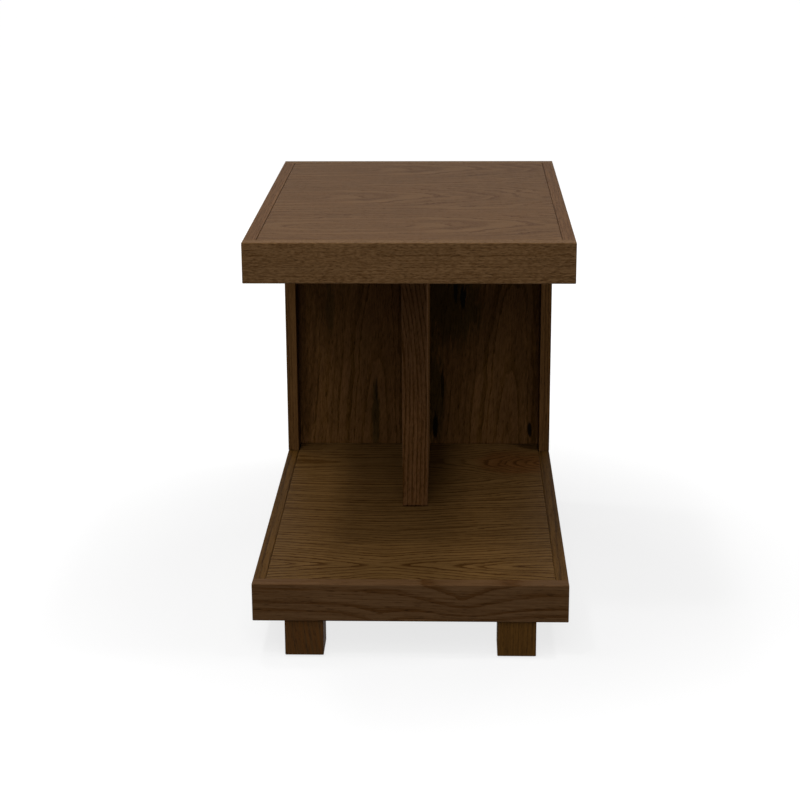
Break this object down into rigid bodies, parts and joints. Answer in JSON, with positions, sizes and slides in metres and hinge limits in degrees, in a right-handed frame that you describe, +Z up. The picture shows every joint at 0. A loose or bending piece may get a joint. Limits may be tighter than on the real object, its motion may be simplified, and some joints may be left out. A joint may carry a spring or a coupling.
{
  "type": "chairside table",
  "caption": "Narrow two-level side table: thick top and base slabs on block feet, joined by a back panel, side returns and a central fin.",
  "frame": {"origin": "centre of the footprint, on the floor", "axes": "+Z up, -Y towards the open front, +X to the right as seen from the front"},
  "size_m": [0.4064, 0.6096, 0.5461],
  "materials": {
    "solid_oak": "open-pore oak, dark brown stain, satin lacquer",
    "oak_veneer": "flat-cut oak veneer on board, dark brown stain, satin lacquer",
    "poplar": "planed, unfinished",
    "beech": "turned, unfinished",
    "zinc_plated_steel": "bright zinc plate",
    "brass_insert": "turned",
    "felt": "pressed wool felt"
  },
  "bodies": {
    "root": {"back_panel": "oak_veneer", "base_back_lipping": "solid_oak", "base_back_rail": "poplar", "base_bolt_inserts": "brass_insert", "base_bolt_washers": "zinc_plated_steel", "base_bolts": "zinc_plated_steel", "base_deck": "oak_veneer", "base_dowels": "beech", "base_front_lipping": "solid_oak", "base_front_rail": "poplar", "base_left_back_rib": "poplar", "base_left_front_rib": "poplar", "base_left_lipping": "solid_oak", "base_left_rail": "poplar", "base_right_back_rib": "poplar", "base_right_front_rib": "poplar", "base_right_lipping": "solid_oak", "base_right_rail": "poplar", "base_spine_rail": "poplar", "base_underside": "oak_veneer", "felt_pad_back_left": "felt", "felt_pad_back_right": "felt", "felt_pad_front_left": "felt", "felt_pad_front_right": "felt", "fin_bottom_rail": "poplar", "fin_dowels": "beech", "fin_front_stile": "poplar", "fin_left_skin": "oak_veneer", "fin_lipping": "solid_oak", "fin_rear_stile": "poplar", "fin_right_skin": "oak_veneer", "fin_top_rail": "poplar", "foot_back_left": "solid_oak", "foot_back_right": "solid_oak", "foot_dowels": "beech", "foot_front_left": "solid_oak", "foot_front_right": "solid_oak", "foot_inserts": "brass_insert", "foot_studs": "zinc_plated_steel", "left_return": "solid_oak", "return_dowels": "beech", "right_return": "solid_oak", "top_back_lipping": "solid_oak", "top_back_rail": "poplar", "top_dowels": "beech", "top_front_lipping": "solid_oak", "top_front_rail": "poplar", "top_left_back_rib": "poplar", "top_left_front_rib": "poplar", "top_left_lipping": "solid_oak", "top_left_rail": "poplar", "top_panel": "oak_veneer", "top_right_back_rib": "poplar", "top_right_front_rib": "poplar", "top_right_lipping": "solid_oak", "top_right_rail": "poplar", "top_screws": "zinc_plated_steel", "top_soffit": "oak_veneer", "top_spine_rail": "poplar"}
  },
  "joints": []
}
